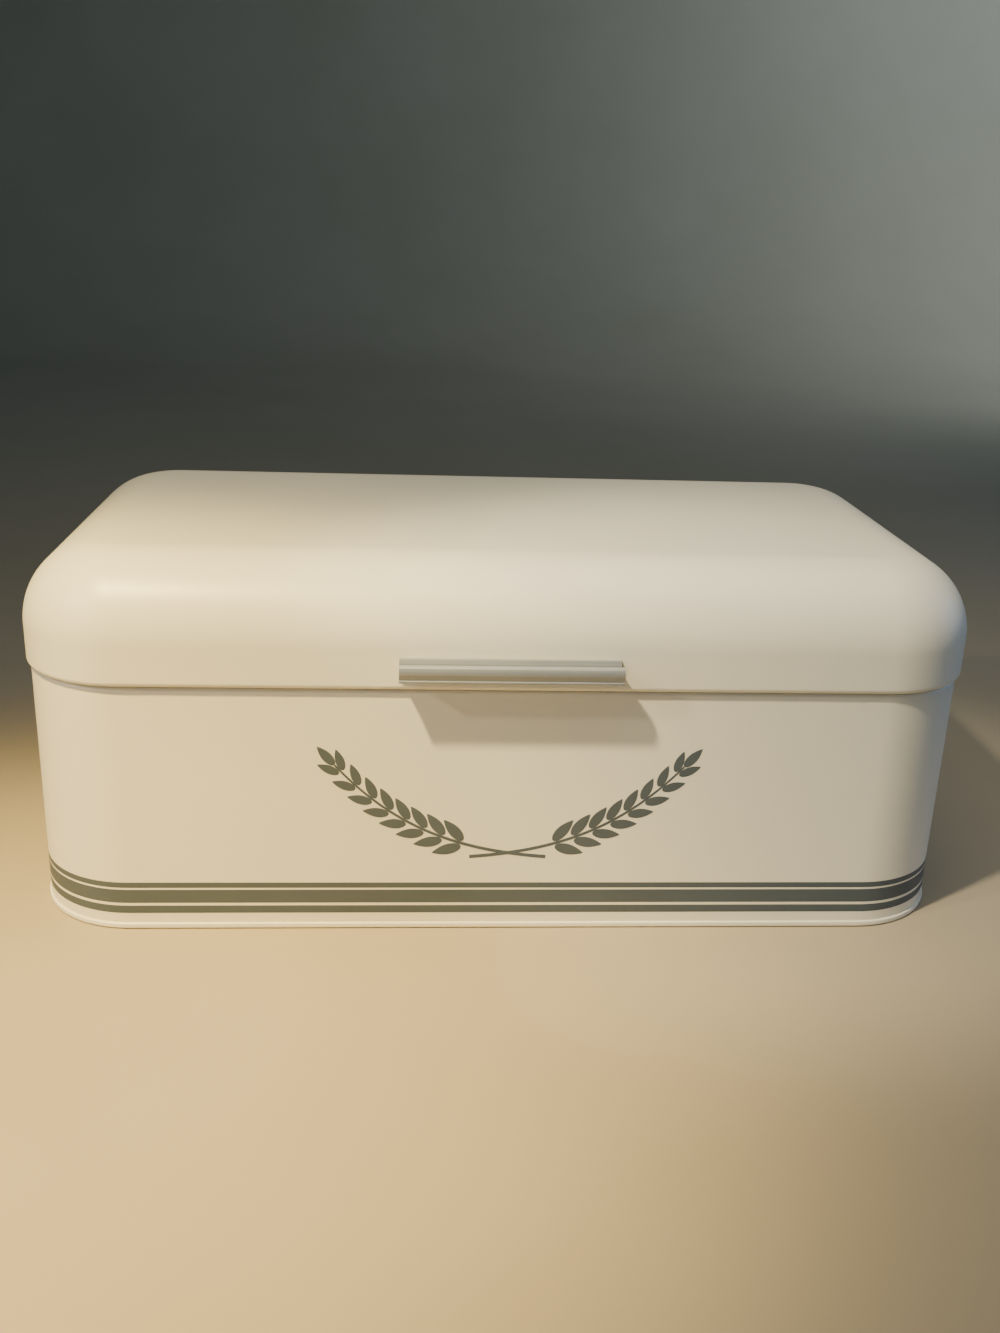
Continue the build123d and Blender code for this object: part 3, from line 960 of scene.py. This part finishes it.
def studio_floor():
    """A plane whose rear edge is pulled up as a backdrop, with a wide round where they meet."""
    deselect_all()
    bpy.ops.mesh.primitive_plane_add(size=1, location=(0, (FLOOR_FRONT + FLOOR_BACK) / 2, 0))
    floor = bpy.context.object
    floor.name = floor.data.name = "studio_floor"
    floor.scale = (FLOOR_WIDTH, FLOOR_BACK - FLOOR_FRONT, 1)
    bpy.ops.object.transform_apply(location=True, rotation=True, scale=True)
    bpy.ops.object.mode_set(mode="EDIT")
    pick("EDGE", at_floor_back)
    raise_by(z=BACKDROP_HEIGHT)
    round_edges(lambda edge: at_floor_back(edge) and level_at(0)(edge), SWEEP_RADIUS, SWEEP_SEGMENTS)
    deselect_all()
    floor.data.materials.append(floor_material())
    make_active(floor)
    bpy.ops.object.shade_smooth()
    return floor


print("floor:", studio_floor().name)

# %% Lights
LAMP_RADIUS = 0.03


def aim(lamp, place, target):
    """Put a lamp at a place and turn it to a target."""
    lamp.location = place
    lamp.rotation_euler = (Vector(target) - Vector(place)).to_track_quat("-Z", "Y").to_euler()


def spot_lamp(name, place, target, power, color, cone):
    """A lamp with a soft-edged cone and a fairly crisp shadow."""
    deselect_all()
    bpy.ops.object.light_add(type="SPOT")
    lamp = bpy.context.object
    lamp.name = name
    lamp.data.energy = power
    lamp.data.color = color
    lamp.data.spot_size = math.radians(cone)
    lamp.data.spot_blend = 1.0
    lamp.data.shadow_soft_size = LAMP_RADIUS
    aim(lamp, place, target)


def soft_panel(name, place, target, power, color, size):
    """A large square light for soft fill."""
    deselect_all()
    bpy.ops.object.light_add(type="AREA")
    lamp = bpy.context.object
    lamp.name = name
    lamp.data.energy = power
    lamp.data.color = color
    lamp.data.size = size
    aim(lamp, place, target)


KEY_PLACE = (-0.42, -0.49, 0.98)
SECOND_PLACE = (-0.97, -0.59, 0.79)
FRONT_MIDDLE = (-0.05, -0.11, 0.07)
FLOOR_AHEAD = (-0.20, -0.22, 0.03)
FLOOR_MIDDLE = (-0.18, -0.20, 0.03)
LID_MIDDLE = (0.06, -0.11, 0.17)
CROWN = (0.06, -0.02, 0.15)
RIGHT_END = (0.15, 0, 0.1)
BACKDROP_RIGHT = (1.0, 2.6, 0.7)
WARM = (1.0, 0.72, 0.24)
MILD = (1.0, 0.88, 0.62)
COOL = (0.66, 0.83, 1.0)
BLUE = (0.20, 0.45, 1.0)
ROOM_COLOR = (0.45, 0.73, 1.0, 1)
ROOM_STRENGTH = 0.10

spot_lamp("key_lamp", KEY_PLACE, FLOOR_AHEAD, 105.0, WARM, 34)
spot_lamp("key_spread", KEY_PLACE, FLOOR_MIDDLE, 42.0, WARM, 41)
spot_lamp("lid_lamp", KEY_PLACE, LID_MIDDLE, 58.0, MILD, 20)
spot_lamp("second_lamp", SECOND_PLACE, FRONT_MIDDLE, 18.5, MILD, 34)
soft_panel("front_panel", (-1.3, -1.2, 0.6), FRONT_MIDDLE, 3.4, COOL, 0.9)
soft_panel("low_panel", (-0.2, -1.7, 0.22), FRONT_MIDDLE, 1.2, COOL, 0.4)
soft_panel("top_panel", (0.10, -0.12, 0.80), CROWN, 2.4, MILD, 0.6)
soft_panel("right_panel", (1.5, 0.1, 0.5), RIGHT_END, 3.6, BLUE, 0.8)
soft_panel("wall_panel", (1.6, 1.4, 0.8), BACKDROP_RIGHT, 12.0, COOL, 0.6)

world = bpy.data.worlds.new("studio")
world.use_nodes = True
background = world.node_tree.nodes["Background"]
background.inputs["Color"].default_value = ROOM_COLOR
background.inputs["Strength"].default_value = ROOM_STRENGTH
bpy.context.scene.world = world

# %% Camera
CAMERA_PLACE = Vector((-42.7, -622.0, 311.7)) * MM
CAMERA_YAW = math.radians(4.27)
CAMERA_PITCH = math.radians(19.84)
CAMERA_ROLL = math.radians(2.08)
FOCAL_PIXELS = 1300.9
FRAME_HEIGHT_PIXELS = 1333
SENSOR = 36.0


def photo_camera():
    """The camera that took the picture: turned by its yaw, pitch and roll."""
    ahead = Vector((
        math.sin(CAMERA_YAW) * math.cos(CAMERA_PITCH),
        math.cos(CAMERA_YAW) * math.cos(CAMERA_PITCH),
        -math.sin(CAMERA_PITCH),
    ))
    level = Vector((math.cos(CAMERA_YAW), -math.sin(CAMERA_YAW), 0))
    above = level.cross(ahead)
    right = level * math.cos(CAMERA_ROLL) + above * math.sin(CAMERA_ROLL)
    up = above * math.cos(CAMERA_ROLL) - level * math.sin(CAMERA_ROLL)
    deselect_all()
    bpy.ops.object.camera_add()
    camera = bpy.context.object
    camera.name = "photo_camera"
    camera.matrix_world = Matrix((right, up, -ahead)).transposed().to_4x4()
    camera.location = CAMERA_PLACE
    camera.data.sensor_width = SENSOR
    camera.data.lens = FOCAL_PIXELS / FRAME_HEIGHT_PIXELS * SENSOR
    bpy.context.scene.camera = camera
    return camera


print("lens:", round(photo_camera().data.lens, 2), "mm")
